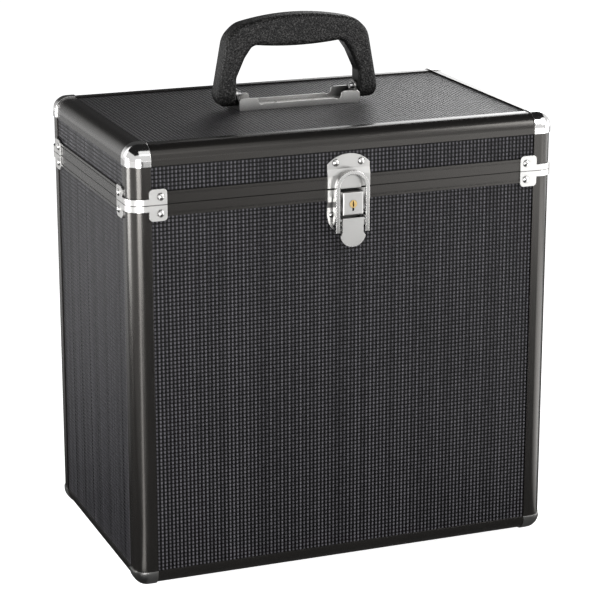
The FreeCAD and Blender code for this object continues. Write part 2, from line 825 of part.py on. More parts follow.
def lock_case():
    body = new_body("latch_lock_case_blank")
    half = "(lock_wide / 2)"
    low, high = f"({SEAM} - lock_bottom_down)", f"({SEAM} - lock_top_down)"
    face = f"({FRONT} + lock_out)"
    start = f"({FRONT} + latch_wall)"
    pad(body, "XZ", start, f"{face} - {start}", rectangle(f"-{half}", low, half, high))
    fillet(body, "lock_edge_round", lambda edge: all(meets(v.Y, f"-{face}") for v in edge.Vertexes))
    key_z = f"({SEAM} - key_down)"
    keyway = rectangle("-keyway_wide / 2", f"{key_z} - keyway_down", "keyway_wide / 2", key_z)
    pocket(body, "XZ", f"{face} - keyway_deep", "keyway_deep + overrun", keyway)
    keep("latch_lock_case", body)
    bore("latch_lock_case", "0", f"-{face} - overrun", key_z, Y_AXIS,
         "key_radius + key_clear", "key_long + overrun + key_clear")
    plug = new_body("latch_key_cylinder_blank")
    back = f"({face} - key_long)"
    pad(plug, "XZ", back, "key_long + key_proud", circles=[("0", key_z, "key_radius")])
    slot = rectangle("-key_slot_wide / 2", f"{key_z} - key_slot_tall / 2",
                     "key_slot_wide / 2", f"{key_z} + key_slot_tall / 2")
    pocket(plug, "XZ", f"{face} + key_proud - key_slot_deep", "key_slot_deep + overrun", slot)
    keep("latch_key_cylinder", plug)


def lever():
    body = new_body("latch_lever_blank")
    half, flare = "(lever_wide / 2)", "(lever_flare_wide / 2)"
    top = f"({SEAM} - pivot_down + pivot_eye_radius)"
    neck = f"({SEAM} - lever_neck_down)"
    centre = f"({SEAM} - lever_tip_down + lever_tip_radius)"
    flare_z = f"({centre} - sqrt(lever_tip_radius ^ 2 - {flare} ^ 2))"
    tongue = [
        (half, top),
        (f"-{half}", top),
        (f"-{half}", neck),
        (f"-{flare}", flare_z),
        (flare, flare_z, "0", centre, "anticlockwise"),
        (half, neck),
    ]
    pad(body, "XZ", f"{FRONT} + lever_out - latch_wall", "latch_wall", tongue)
    inner = f"(-{FRONT} - lever_out + latch_wall / 2)"
    pivot_y, pivot_z = f"(-{FRONT} - pivot_out)", f"({SEAM} - pivot_down)"
    pin_y, pin_z = f"(-{FRONT} - loop_pin_out)", f"({SEAM} - loop_pin_down)"
    eye = "pivot_eye_radius"
    arm = [
        (inner, top),
        (inner, f"{SEAM} - lever_arm_low_down"),
        (pin_y, f"{pin_z} - {eye}"),
        (f"{pin_y} + {eye}", pin_z, pin_y, pin_z, "anticlockwise"),
        (f"{pivot_y} + {eye}", pivot_z),
        (pivot_y, top, pivot_y, pivot_z, "anticlockwise"),
    ]
    pad(body, "YZ", f"{half} - latch_wall", "latch_wall", arm)
    pad(body, "YZ", f"-{half}", "latch_wall", arm)
    keep("latch_lever", body)


def loop():
    body = new_body("latch_loop_blank")
    half, inner = "(loop_wide / 2)", "(loop_wide / 2 - loop_band)"
    centre = f"({SEAM} + loop_top - {half})"
    foot = f"({SEAM} - loop_foot_down)"

    def hoop(window):
        return [
            (half, foot),
            (half, centre),
            (f"-{half}", centre, "0", centre, "anticlockwise"),
            (f"-{half}", foot),
            (f"-{window}", foot),
            (f"-{window}", centre),
            (window, centre, "0", centre, "clockwise"),
            (window, foot),
        ]

    wall_window = f"({half} - latch_wall)"
    face_start = f"({FRONT} + loop_out - latch_wall)"
    pad(body, "XZ", face_start, "latch_wall", hoop(inner))
    wall_start = f"({FRONT} + loop_wall_in)"
    pad(body, "XZ", wall_start, f"{face_start} - {wall_start} + latch_wall / 2", hoop(wall_window))
    leg_top = f"({SEAM} - loop_leg_top_down)"
    leg_start = f"({FRONT} + loop_leg_in)"
    depth = f"{wall_start} - {leg_start} + latch_wall / 2"
    for low, high in ((f"-{half}", f"-{wall_window}"), (wall_window, half)):
        pad(body, "XZ", leg_start, depth, rectangle(low, foot, high, leg_top))
    keep("latch_loop", body)
    pin_y, pin_z = f"(-{FRONT} - loop_pin_out)", f"({SEAM} - loop_pin_down)"
    keep("latch_loop_pin", rod("latch_loop_pin_rod", f"-{half}", pin_y, pin_z, X_AXIS,
                               "pivot_pin_radius", "loop_wide"))
    bore("latch_lever", f"-{half}", pin_y, pin_z, X_AXIS, "pivot_pin_radius", "loop_wide")
    bore("latch_loop", f"-{half} - overrun", pin_y, pin_z, X_AXIS,
         "pivot_pin_radius + pin_clear", "loop_wide + 2 * overrun")


# Hinges on the back.

def hinge_leaf(name, sign, knuckles):
    """A leaf with its knuckles. Each knuckle is a start and a length, as names."""
    body = new_body(name)
    half = "(hinge_wide / 2)"
    axis_y = f"({FRONT} + knuckle_radius + knuckle_off)"
    seam = SEAM if sign < 0 else f"({SEAM} + seam_gap)"
    far = f"({seam} + {sign} * hinge_leaf_tall)"
    clear = f"({SEAM} + {sign} * (knuckle_radius + knuckle_gap + seam_gap))"
    outer = f"({FRONT} + hinge_leaf_wall)"
    board = f"({FRONT} - rail_wall)"
    first, second = joggle(sign)
    step = "(hinge_leaf_wall / 3)"
    side = [
        (FRONT, clear),
        (FRONT, f"{first} - {sign} * {step}"),
        (board, f"{second} - {sign} * {step}"),
        (board, far),
        (f"{outer} - rail_wall", far),
        (f"{outer} - rail_wall", second),
        (outer, first),
        (outer, clear),
    ]
    pad(body, "YZ", f"-{half}", "hinge_wide", side)
    for start, long in knuckles:
        strap = rectangle(FRONT, SEAM, outer, f"{clear} + {sign} * overrun")
        if sign < 0:
            strap = rectangle(FRONT, f"{clear} - overrun", outer, SEAM)
        pad(body, "YZ", start, long, strap)
        barrel = body.newObject("PartDesign::Pad", name + "_knuckle")
        barrel.Profile = sketch_on(body, "YZ", start, [], [(axis_y, SEAM, "knuckle_radius")])
        bind(barrel, Length=long)

    def far_corner(edge):
        ends = [meets(v.Z, far) and meets(abs(v.X), half) for v in edge.Vertexes]
        return all(ends) and runs_back(edge)

    fillet(body, "hinge_leaf_round", far_corner)
    return body


def hinges():
    half = "(hinge_wide / 2)"
    knuckle = f"((hinge_wide + knuckle_gap) / {HINGE_KNUCKLES} - knuckle_gap)"
    pitch = f"({knuckle} + knuckle_gap)"
    starts = [f"-{half} + {number} * {pitch}" for number in range(HINGE_KNUCKLES)]
    axis_y = f"({FRONT} + knuckle_radius + knuckle_off)"
    body_leaves, lid_leaves, pins = [], [], []
    body_spots, lid_spots = [], []
    for side, sign in (("left", -1), ("right", 1)):
        middle = f"{sign} * hinge_spread / 2"
        lower = hinge_leaf(f"hinge_body_leaf_{side}", -1, [(s, knuckle) for s in starts[0::2]])
        upper = hinge_leaf(f"hinge_lid_leaf_{side}", 1, [(s, knuckle) for s in starts[1::2]])
        body_leaves.append(place(lower, middle))
        lid_leaves.append(place(upper, middle))
        begin = f"{middle} - {half}"
        pins.append(rod(f"hinge_pin_{side}", begin, axis_y, SEAM, X_AXIS,
                        "hinge_pin_radius", "hinge_wide"))
        for storey in ("body", "lid"):
            clear = "hinge_pin_radius" if storey == "body" else "hinge_pin_radius + hinge_pin_clear"
            bore(f"hinge_{storey}_leaves", f"{begin} - overrun", axis_y, SEAM, X_AXIS,
                 clear, "hinge_wide + 2 * overrun")
        for offset in (-1, 1):
            across = f"{middle} + {offset} * hinge_rivet_spread / 2"
            back = f"{FRONT} + hinge_leaf_wall - rail_wall"
            body_spots.append(((across, back, f"{SEAM} - hinge_rivet_off"), Y_AXIS, []))
            up = f"{SEAM} + seam_gap + hinge_rivet_off"
            lid_spots.append(((across, back, up), Y_AXIS, []))
    group("hinge_body_leaves", body_leaves)
    group("hinge_lid_leaves", lid_leaves)
    group("hinge_pins", pins)
    grip = "hinge_leaf_wall + panel_thick"
    riveted("hinge_body_rivets", body_spots, grip, ["hinge_body_leaves", "body_back_panel"])
    riveted("hinge_lid_rivets", lid_spots, grip, ["hinge_lid_leaves", "lid_back_panel"])


# Handle. Heights are from the lid's top face over the rails.

def saddle():
    body = new_body("handle_bracket_blank")
    half = "(saddle_long / 2)"
    floor = f"({TOP} - rail_wall)"
    near, far = "(handle_back - saddle_wide / 2)", "(handle_back + saddle_wide / 2)"
    pad(body, "XY", floor, "saddle_wall", rectangle(f"-{half}", near, half, far))
    high, low = f"({TOP} + saddle_high)", f"({TOP} + saddle_low)"
    bend = "((saddle_high - saddle_low) / 2)"
    middle = f"({TOP} + (saddle_high + saddle_low) / 2)"
    wall = [
        (f"-{half}", floor),
        (half, floor),
        (half, f"{high} - {bend}"),
        (f"{half} - {bend}", high, f"{half} - {bend}", f"{high} - {bend}", "anticlockwise"),
        ("saddle_high_end", high),
        (f"saddle_high_end - {bend}", middle, "saddle_high_end", middle, "anticlockwise"),
        ("saddle_low_start", low, "saddle_low_start", middle, "clockwise"),
        ("-saddle_low_start", low),
        (f"-saddle_high_end + {bend}", middle, "-saddle_low_start", middle, "clockwise"),
        ("-saddle_high_end", high, "-saddle_high_end", middle, "anticlockwise"),
        (f"-{half} + {bend}", high),
        (f"-{half}", f"{high} - {bend}", f"-{half} + {bend}", f"{high} - {bend}", "anticlockwise"),
    ]
    pad(body, "XZ", f"-({near}) - saddle_wall", "saddle_wall", wall)
    pad(body, "XZ", f"-({far})", "saddle_wall", wall)
    pivot_z = f"({TOP} + handle_pivot_up)"
    ear = [
        (near, floor),
        (far, floor),
        (far, low),
        ("handle_back + saddle_ear_radius", pivot_z),
        ("handle_back - saddle_ear_radius", pivot_z, "handle_back", pivot_z, "anticlockwise"),
        (near, low),
    ]
    pad(body, "YZ", f"{half} - saddle_wall", "saddle_wall", ear)
    pad(body, "YZ", f"-{half}", "saddle_wall", ear)
    keep("handle_bracket", body)
    spots = []
    for across in ("saddle_rivet_outer", "saddle_rivet_inner"):
        for sign in (-1, 1):
            at = (f"{sign} * {across}", "handle_back", f"{floor} + saddle_wall")
            spots.append((at, Z_AXIS, []))
    riveted("handle_bracket_rivets", spots, "saddle_wall + panel_thick",
            ["handle_bracket", "lid_top_panel"])


def handle():
    body = new_body("handle_grip_blank")
    crown, belly = "handle_crown_half", "handle_belly_half"
    crown_centre = f"({TOP} + handle_top - handle_crown_radius)"
    crown_end = f"({crown_centre} + sqrt(handle_crown_radius ^ 2 - {crown} ^ 2))"
    belly_centre = f"({TOP} + handle_belly_up + handle_belly_radius)"
    belly_end = f"({belly_centre} - sqrt(handle_belly_radius ^ 2 - {belly} ^ 2))"
    shoulder_z = f"({TOP} + handle_shoulder_up)"
    foot_z = f"({TOP} + handle_foot_up)"
    knee_z = f"({TOP} + handle_knee_up)"
    leg_z = f"({TOP} + handle_leg_top_up)"
    front = [
        ("-" + crown, crown_end),
        (crown, crown_end, "0", crown_centre, "clockwise"),
        ("handle_shoulder_half", shoulder_z),
        ("handle_foot_half", foot_z),
        ("handle_foot_inner", foot_z),
        ("handle_knee_inner", knee_z),
        ("handle_leg_top_inner", leg_z),
        (belly, belly_end),
        ("-" + belly, belly_end, "0", belly_centre, "clockwise"),
        ("-handle_leg_top_inner", leg_z),
        ("-handle_knee_inner", knee_z),
        ("-handle_foot_inner", foot_z),
        ("-handle_foot_half", foot_z),
        ("-handle_shoulder_half", shoulder_z),
    ]
    thick_half = "(handle_thick / 2)"
    pad(body, "XZ", f"-handle_back - {thick_half}", "handle_thick", front)

    def corner_at(across, up):
        def chosen(edge):
            ends = [meets(abs(v.X), across) and meets(v.Z, up) for v in edge.Vertexes]
            return all(ends) and runs_back(edge)
        return chosen

    outer = [corner_at(crown, crown_end), corner_at("handle_shoulder_half", shoulder_z)]
    fillet(body, "handle_corner_round", lambda edge: any(test(edge) for test in outer))
    fillet(body, "handle_foot_round", corner_at("handle_foot_half", foot_z))
    inner = [corner_at("handle_knee_inner", knee_z), corner_at("handle_leg_top_inner", leg_z),
             corner_at(belly, belly_end)]
    fillet(body, "handle_inner_round", lambda edge: any(test(edge) for test in inner))

    def on_a_face(edge):
        faces = (f"handle_back - {thick_half}", f"handle_back + {thick_half}")
        return any(all(meets(v.Y, face) for v in edge.Vertexes) for face in faces)

    fillet(body, "handle_edge_round", on_a_face)
    pivot_z = f"({TOP} + handle_pivot_up)"
    eye = "(handle_pivot_up - handle_foot_up)"
    low = f"({TOP} - overrun)"
    for sign, way in ((-1, "clockwise"), (1, "anticlockwise")):
        side = f"handle_back + {sign} * {thick_half}"
        beyond = f"handle_back + {sign} * ({thick_half} + overrun)"
        round_foot = [
            (beyond, low),
            ("handle_back", low),
            ("handle_back", f"{pivot_z} - {eye}"),
            (f"handle_back + {sign} * {eye}", pivot_z, "handle_back", pivot_z, way),
            (side, pivot_z),
            (beyond, pivot_z),
        ]
        pocket(body, "YZ", "-handle_foot_half - overrun", "2 * handle_foot_half + 2 * overrun",
               round_foot)
    keep("handle_grip", body)
    pins = []
    start = "(saddle_long / 2 - saddle_wall - handle_pin_tail)"
    long = f"(handle_foot_inner + handle_pin_bite - {start})"
    for side, sign in (("left", -1), ("right", 1)):
        way = FreeCAD.Vector(sign, 0, 0)
        at = (f"{sign} * {start}", "handle_back", pivot_z)
        pins.append(rod(f"handle_pin_{side}", *at, way, "handle_pin_radius", long))
        bore("handle_bracket", *at, way, "handle_pin_radius", long)
        bore("handle_grip", *at, way, "handle_pin_radius + handle_pin_clear",
             f"{long} + handle_pin_clear")
    group("handle_pins", pins)


# Feet and linings.

def feet():
    pads, screws = [], []
    seat = f"({BASE} + rail_wall)"
    head_z = "foot_recess_deep"
    for corner in CORNER_TURNS:
        right, back = corner_signs(corner)
        at = (f"{right} * (case_width / 2 - foot_inset)", f"{back} * (case_depth / 2 - foot_inset)")
        foot = new_body(f"foot_{corner}")
        outline = [
            ("screw_shank_radius", head_z),
            ("foot_recess_radius", head_z),
            ("foot_recess_radius", "0"),
            ("foot_top_radius", "0"),
            ("foot_radius", "(foot_radius - foot_top_radius)"),
            ("foot_radius", seat),
            ("screw_shank_radius", seat),
        ]
        turned = foot.newObject("PartDesign::Revolution", f"foot_{corner}_turned")
        profile = sketch_on(foot, "XZ", "0", [outline])
        turned.Profile = profile
        turned.ReferenceAxis = (profile, ["V_Axis"])
        pads.append(place(foot, *at))
        screw = new_body(f"foot_screw_{corner}")
        outline = [
            ("0", f"{head_z} - screw_head_tall"),
            ("screw_head_radius", f"{head_z} - screw_head_tall"),
            ("screw_head_radius", head_z),
            ("screw_shank_radius", head_z),
            ("screw_shank_radius", f"{seat} + panel_thick"),
            ("0", f"{seat} + panel_thick"),
        ]
        turned = screw.newObject("PartDesign::Revolution", f"foot_screw_{corner}_turned")
        profile = sketch_on(screw, "XZ", "0", [outline])
        turned.Profile = profile
        turned.ReferenceAxis = (profile, ["V_Axis"])
        screws.append(place(screw, *at))
        bore("body_bottom_panel", *at, seat, Z_AXIS, "screw_shank_radius", "panel_thick")
    group("rubber_feet", pads)
    group("foot_screws", screws)


def linings():
    wide, deep = "(case_width - 2 * pad_inset)", "(case_depth - 2 * pad_inset)"
    floor_z = f"{BASE} + {SLOT} + pad_clear"
    roof_z = f"{TOP} - {SLOT} - pad_clear - pad_thick"
    block("body_floor_pad", f"-{wide} / 2", f"-{deep} / 2", floor_z, wide, deep, "pad_thick")
    block("lid_roof_pad", f"-{wide} / 2", f"-{deep} / 2", roof_z, wide, deep, "pad_thick")


def drill():
    """Cut each piece's holes, all at once."""
    for label, holes in bores.items():
        blank = nodes[label]
        blank.Label = label + "_undrilled"
        tools = [rod(f"{label}_drill_{number}", *hole) for number, hole in enumerate(holes, 1)]
        tool = tools[0]
        if len(tools) > 1:
            tool = doc.addObject("Part::MultiFuse", label + "_drills")
            tool.Shapes = tools
        cut = doc.addObject("Part::Cut", label + "_drilled")
        cut.Base, cut.Tool = blank, tool
        keep(label, cut)


def check_and_write():
    doc.recompute()
    for item in doc.Objects:
        if "Invalid" in item.State or "Error" in item.State:
            raise RuntimeError(f"{item.Name} ({item.Label}) failed: {item.State}")
    for label, item in nodes.items():
        if item.Shape.isNull() or not item.Shape.isValid():
            raise RuntimeError(f"{label} has no valid shape")
    os.makedirs("parts", exist_ok=True)
    for label, item in nodes.items():
        item.Shape.exportStep(f"parts/{label}.step")


panels()
rails()
posts()
by_sides("body_rim", body_rim)
by_sides("lid_rim", lid_rim)
corner_caps()
seam_brackets()
catch_plate()
base_plate()
lock_case()
lever()
loop()
hinges()
saddle()
handle()
feet()
linings()
drill()
check_and_write()
print(len(nodes), "nodes")
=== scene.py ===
"""Record carrying case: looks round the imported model. Metres, the same frame as the model."""
import math

import bmesh
import bpy
from mathutils import Euler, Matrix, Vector

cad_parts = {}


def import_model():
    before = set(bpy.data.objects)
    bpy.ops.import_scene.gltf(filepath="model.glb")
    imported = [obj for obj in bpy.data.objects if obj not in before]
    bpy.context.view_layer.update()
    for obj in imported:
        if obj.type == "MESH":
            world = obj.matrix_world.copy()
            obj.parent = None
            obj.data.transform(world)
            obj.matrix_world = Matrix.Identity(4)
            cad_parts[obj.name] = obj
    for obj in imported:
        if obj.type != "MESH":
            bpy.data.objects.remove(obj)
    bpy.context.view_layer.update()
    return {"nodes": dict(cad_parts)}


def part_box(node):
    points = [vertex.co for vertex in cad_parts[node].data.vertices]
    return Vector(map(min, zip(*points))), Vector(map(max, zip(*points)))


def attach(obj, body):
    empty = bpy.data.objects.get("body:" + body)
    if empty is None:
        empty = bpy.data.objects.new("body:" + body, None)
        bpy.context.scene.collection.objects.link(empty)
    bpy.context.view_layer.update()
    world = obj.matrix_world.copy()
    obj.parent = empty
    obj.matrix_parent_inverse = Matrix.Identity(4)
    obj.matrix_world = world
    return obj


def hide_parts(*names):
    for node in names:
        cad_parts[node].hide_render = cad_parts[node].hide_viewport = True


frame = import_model()

MM = 0.001
X, Y, Z = 0, 1, 2
WHITE = (1.0, 1.0, 1.0, 1.0)
NOISE_SPAN = (0.3, 0.7)  # most values of a noise texture lie between these
OPEN_SPAN = (0.35, 0.9)  # how open a place is, from a deep corner to a free face
TOUCH_SCALE = 60.0       # of the uneven gloss that touching leaves


# Shader graphs. A texture's scale is how many of its grains lie along a metre.

class Graph:
    """A node tree, with short ways to add nodes and to link them."""

    def __init__(self, tree):
        self.tree = tree

    def add(self, kind, links=None, **settings):
        """A new node. Each link sets an input, to a value or to another node's output."""
        node = self.tree.nodes.new("ShaderNode" + kind)
        for key, value in settings.items():
            setattr(node, key, value)
        for key, value in (links or {}).items():
            self.put(node.inputs[key], value)
        return node

    def put(self, socket, value):
        if isinstance(value, bpy.types.NodeSocket):
            self.tree.links.new(value, socket)
        else:
            socket.default_value = value

    def math(self, operation, first, second=0.0, clamp=False):
        links = {0: first, 1: second}
        return self.add("Math", links, operation=operation, use_clamp=clamp).outputs[0]

    def plus(self, first, *rest):
        """The sum of these."""
        for part in rest:
            first = self.math("ADD", first, part)
        return first

    def times(self, first, *rest):
        """The product of these."""
        for part in rest:
            first = self.math("MULTIPLY", first, part)
        return first

    def dot(self, first, second):
        links = {0: first, 1: second}
        return self.add("VectorMath", links, operation="DOT_PRODUCT").outputs["Value"]

    def ranged(self, value, span, new_span=(0.0, 1.0)):
        """The value's place in the span, as the same place in the new span."""
        links = {"Value": value, "From Min": span[0], "From Max": span[1],
                 "To Min": new_span[0], "To Max": new_span[1]}
        return self.add("MapRange", links).outputs["Result"]

    def seen(self):
        """1 for what the camera sees, also by way of metal or glass, and 0 for light on things."""
        rays = self.add("LightPath").outputs
        share = rays["Is Camera Ray"]
        for kind in ("Is Glossy Ray", "Is Transmission Ray"):
            share = self.math("MAXIMUM", share, rays[kind])
        return share


class Surface(Graph):
    """A material's node tree, with what the look of a surface is made of."""

    INPUTS = {
        "color": "Base Color",
        "metal": "Metallic",
        "rough": "Roughness",
        "normal": "Normal",
        "specular": "Specular IOR Level",
        "specular_tint": "Specular Tint",
        "sheen": "Sheen Weight",
        "glow": "Emission Color",
        "glow_strength": "Emission Strength",
    }

    def __init__(self, name):
        self.material = bpy.data.materials.new(name)
        self.material.use_nodes = True
        super().__init__(self.material.node_tree)
        coords = self.add("TexCoord").outputs
        self.place = coords["Object"]
        self.normal = coords["Normal"]

    def noise(self, scale, detail=3.0, rough=0.5, vector=None):
        links = {"Vector": vector or self.place, "Scale": scale,
                 "Detail": detail, "Roughness": rough}
        return self.add("TexNoise", links).outputs["Fac"]

    def mix(self, share, first, second):
        """A colour between two. The Mix node holds those of its colour form in 6, 7 and 2."""
        links = {0: share, 6: first, 7: second}
        return self.add("Mix", links, data_type="RGBA").outputs[2]

    def bump(self, height, distance, strength, normal=None):
        links = {"Height": height, "Distance": distance, "Strength": strength}
        if normal is not None:
            links["Normal"] = normal
        return self.add("Bump", links).outputs["Normal"]

    def rounded(self, radius):
        """Softens the shading of hard edges by this radius."""
        return self.add("Bevel", {"Radius": radius}, samples=4).outputs["Normal"]

    def painted_shade_mask(self, reach):
        """From 0 deep in a corner or gap to 1 on open faces, for painted shade there."""
        open_share = self.add("AmbientOcclusion", {"Distance": reach}, samples=6).outputs["AO"]
        return self.ranged(open_share, OPEN_SPAN)

    def handled(self, rough_span):
        """A roughness that drifts over the span, as on metal that hands touch."""
        drift = self.noise(TOUCH_SCALE, detail=4.0, rough=0.6)
        return self.ranged(drift, NOISE_SPAN, rough_span)

    def finish(self, **inputs):
        shader = self.tree.nodes["Principled BSDF"]
        for key, value in inputs.items():
            self.put(shader.inputs[self.INPUTS[key]], value)
        return self.material


def gray(level, tint=(1.0, 1.0, 1.0)):
    """A colour of this brightness, or close to it with a tint."""
    return (level * tint[0], level * tint[1], level * tint[2], 1.0)


# Boards, with lines of embossed dots.

BOARD_PITCH = 3.1 * MM
BOARD_GROOVE_SHADE = gray(0.001, (1.0, 0.97, 1.1))
BOARD_HIGHLIT_TOP = gray(0.084, (1.0, 0.97, 1.07))
BOARD_ROUGH = (0.4, 0.26)  # between the dots and on top of them
LINE_EDGE = (0.62, 1.0)    # heights of the wave across the lines that go from painted shade to painted highlight
DOT_EDGE = (0.3, 0.85)     # the same for the wave along a line, which makes its dots
DOT_POWER = 0.7            # under 1, it makes the dots' tops flatter than the waves
EVEN, BY_DOT, BY_LINE, BY_AREA = 0.35, 0.25, 0.45, 0.4  # what the strength of a dot's painted highlight is made of
AREA_SCALE = 9.0
STREAK_SCALE = 170.0
STREAK_SPAN = (0.38, 0.62)
FUZZ_SCALE = 900.0
INSIDE_COLOR = gray(0.012)
INSIDE_ROUGH = 0.9


def board_material(side, across, along, outward, joins=0.12, raised=0.4 * MM, streaks=0.0,
                   specular=0.09):
    """Laminate embossed with square dots on the face that looks outward, and felt on the other.

    Across and along are the axes across the lines of dots and along them. Joins is how much
    painted highlight a line keeps between its dots, raised is the height of the dots, and
    streaks is how much the lines' painted highlights differ.
    """
    graph = Surface("board_" + side)
    place = graph.add("SeparateXYZ", {0: graph.place}).outputs
    cells = []
    waves = []
    for axis in (across, along):
        steps = graph.times(place[axis], 1 / BOARD_PITCH)
        cells.append(graph.math("FLOOR", steps))
        turn = graph.times(steps, math.pi)
        waves.append(graph.math("ABSOLUTE", graph.math("SINE", turn)))
    # Painted highlight on the dots' tops, and painted shade in the grooves between them.
    tops = graph.times(graph.ranged(waves[0], LINE_EDGE),
                       graph.ranged(waves[1], DOT_EDGE, (joins, 1.0)))

    cell = graph.add("CombineXYZ", {0: cells[0], 1: cells[1]}).outputs[0]
    by_dot = graph.add("TexWhiteNoise", {"Vector": cell}, noise_dimensions="2D").outputs["Value"]
    by_line = graph.add("TexWhiteNoise", {"W": cells[0]}, noise_dimensions="1D").outputs["Value"]
    dot_highlight = graph.plus(graph.times(by_dot, BY_DOT), graph.times(by_line, BY_LINE),
                        graph.times(graph.noise(AREA_SCALE), BY_AREA), EVEN)
    level = graph.math("MULTIPLY", tops, dot_highlight, clamp=True)
    if streaks:
        line = graph.add("CombineXYZ", {0: place[across]}).outputs[0]
        bands = graph.noise(STREAK_SCALE, detail=2.0, rough=0.7, vector=line)
        level = graph.times(level, graph.ranged(bands, STREAK_SPAN, (1 - streaks, 1 + streaks)))

    outside = graph.math("GREATER_THAN", graph.dot(graph.normal, outward), 0.5)
    color = graph.mix(outside, INSIDE_COLOR, graph.mix(level, BOARD_GROOVE_SHADE, BOARD_HIGHLIT_TOP))
    gloss = graph.ranged(tops, (0.0, 0.8), BOARD_ROUGH)
    rough = graph.ranged(outside, (0.0, 1.0), (INSIDE_ROUGH, gloss))
    dots = graph.math("POWER", graph.times(*waves), DOT_POWER)
    emboss = graph.bump(graph.times(dots, outside), raised, strength=0.9)
    fuzz = graph.bump(graph.noise(FUZZ_SCALE, detail=2.0), 0.1 * MM, strength=0.5, normal=emboss)
    return graph.finish(color=color, rough=rough, normal=fuzz, specular=specular)


# Metals.

RAIL_TONES = (gray(0.005, (1.0, 0.95, 0.9)), gray(0.009, (1.0, 0.94, 0.88)))
RAIL_TONE_SCALE = 7.0
RAIL_ROUGH = (0.2, 0.27)
RAIL_EDGE = 0.35 * MM
RAIL_SHINE = (1.0, 0.96, 0.91, 1.0)
DRAWN_SCALE = 1600.0
DRAWN_SHARE = 0.02   # of that scale, along the rail
NICKEL_TINT = (1.0, 0.99, 0.97)
CHROME_TINT = (1.0, 0.99, 0.98)
STEEL_TINT = (1.0, 1.0, 1.0)
SWELL_SCALE, SWELL_HEIGHT = 60.0, 0.04 * MM
SPOT_SCALE = 40.0
DULL_SHARE = 0.94    # of the brightness, in the duller spots of plated metal
BALL_EDGE = 0.5 * MM
BRASS_TONES = ((0.50, 0.33, 0.12, 1.0), (0.74, 0.55, 0.26, 1.0))
BRASS_TONE_SCALE = 1500.0
BRASS_PAINTED_SHADE = (0.02, 0.012, 0.005, 1.0)
BRASS_ROUGH = (0.22, 0.34)
BRASS_EDGE = 0.15 * MM


def rail_material(name, length_axis):
    """Satin dark anodised aluminium, drawn along its length."""
    graph = Surface(name)
    stretch = [1.0, 1.0, 1.0]
    stretch[length_axis] = DRAWN_SHARE
    drawn = graph.add("Mapping", {"Vector": graph.place, "Scale": stretch}).outputs[0]
    lines = graph.noise(DRAWN_SCALE, detail=2.0, rough=0.6, vector=drawn)
    normal = graph.bump(lines, 0.01 * MM, strength=0.2, normal=graph.rounded(RAIL_EDGE))
    return graph.finish(color=graph.mix(graph.noise(RAIL_TONE_SCALE), *RAIL_TONES),
                        rough=graph.ranged(lines, NOISE_SPAN, RAIL_ROUGH), normal=normal,
                        specular=0.52, specular_tint=RAIL_SHINE)


def plated_material(name, level, rough_span, tint=NICKEL_TINT, edge=0.3 * MM, shade=0.04,
                    reach=4.0 * MM):
    """Plated steel, slightly uneven.

    Edge is the radius that hard edges are shaded to. Shade is the share of the brightness
    that is left in corners and gaps, as far as the reach, as painted shade there.
    """
    graph = Surface(name)
    swells = graph.noise(SWELL_SCALE, detail=1.0)
    normal = graph.bump(swells, SWELL_HEIGHT, strength=0.2, normal=graph.rounded(edge))
    unshaded = graph.mix(graph.noise(SPOT_SCALE), gray(level * DULL_SHARE, tint), gray(level, tint))
    # Painted shade: the colour darkens in corners and gaps, where shade falls.
    return graph.finish(color=graph.mix(graph.painted_shade_mask(reach), gray(level * shade, tint), unshaded),
                        metal=1.0, rough=graph.handled(rough_span), normal=normal)


def brass_material():
    graph = Surface("brass")
    turned = graph.mix(graph.noise(BRASS_TONE_SCALE, detail=2.0), *BRASS_TONES)
    # Painted shade: the brass turns dark in its hollows and gaps, where shade falls.
    return graph.finish(color=graph.mix(graph.painted_shade_mask(1.5 * MM), BRASS_PAINTED_SHADE, turned), metal=1.0,
                        rough=graph.handled(BRASS_ROUGH), normal=graph.rounded(BRASS_EDGE))


# Plastic, rubber and felt.

GRIP_BLACK = gray(0.003)
GRIP_ROUGH = (0.36, 0.5)  # of its smooth and of its grained faces
GRIP_EDGE = 0.4 * MM
GRIP_SMOOTH = 0.12        # how much of the grain is left on the faces inside the handle's loop
HEART_HEIGHT = 30.0 * MM  # of the point that those faces look to, above the handle's feet
FACING_SPAN = (0.25, 0.7)  # from grained to smooth, as faces turn to that point
PEBBLE_SCALE, PEBBLE_HEIGHT = 620.0, 0.5 * MM
GRIP_SWELL_SCALE, GRIP_SWELL_HEIGHT = 260.0, 0.08 * MM
PAINTED_GLINT_COLOR = gray(0.058, (1.0, 0.98, 0.95))
GLINT_SCALE = 900.0
GLINT_SPAN = (0.5, 0.72)
RUBBER_TONES = (gray(0.014), gray(0.022))
RUBBER_ROUGH = (0.6, 0.75)
RUBBER_SCALE = 800.0
FELT_TONES = (gray(0.008), gray(0.024))
FIBRE_SCALE, FIBRE_HEIGHT = 1400.0, 0.25 * MM
TUFT_SCALE, TUFT_HEIGHT = 220.0, 0.3 * MM


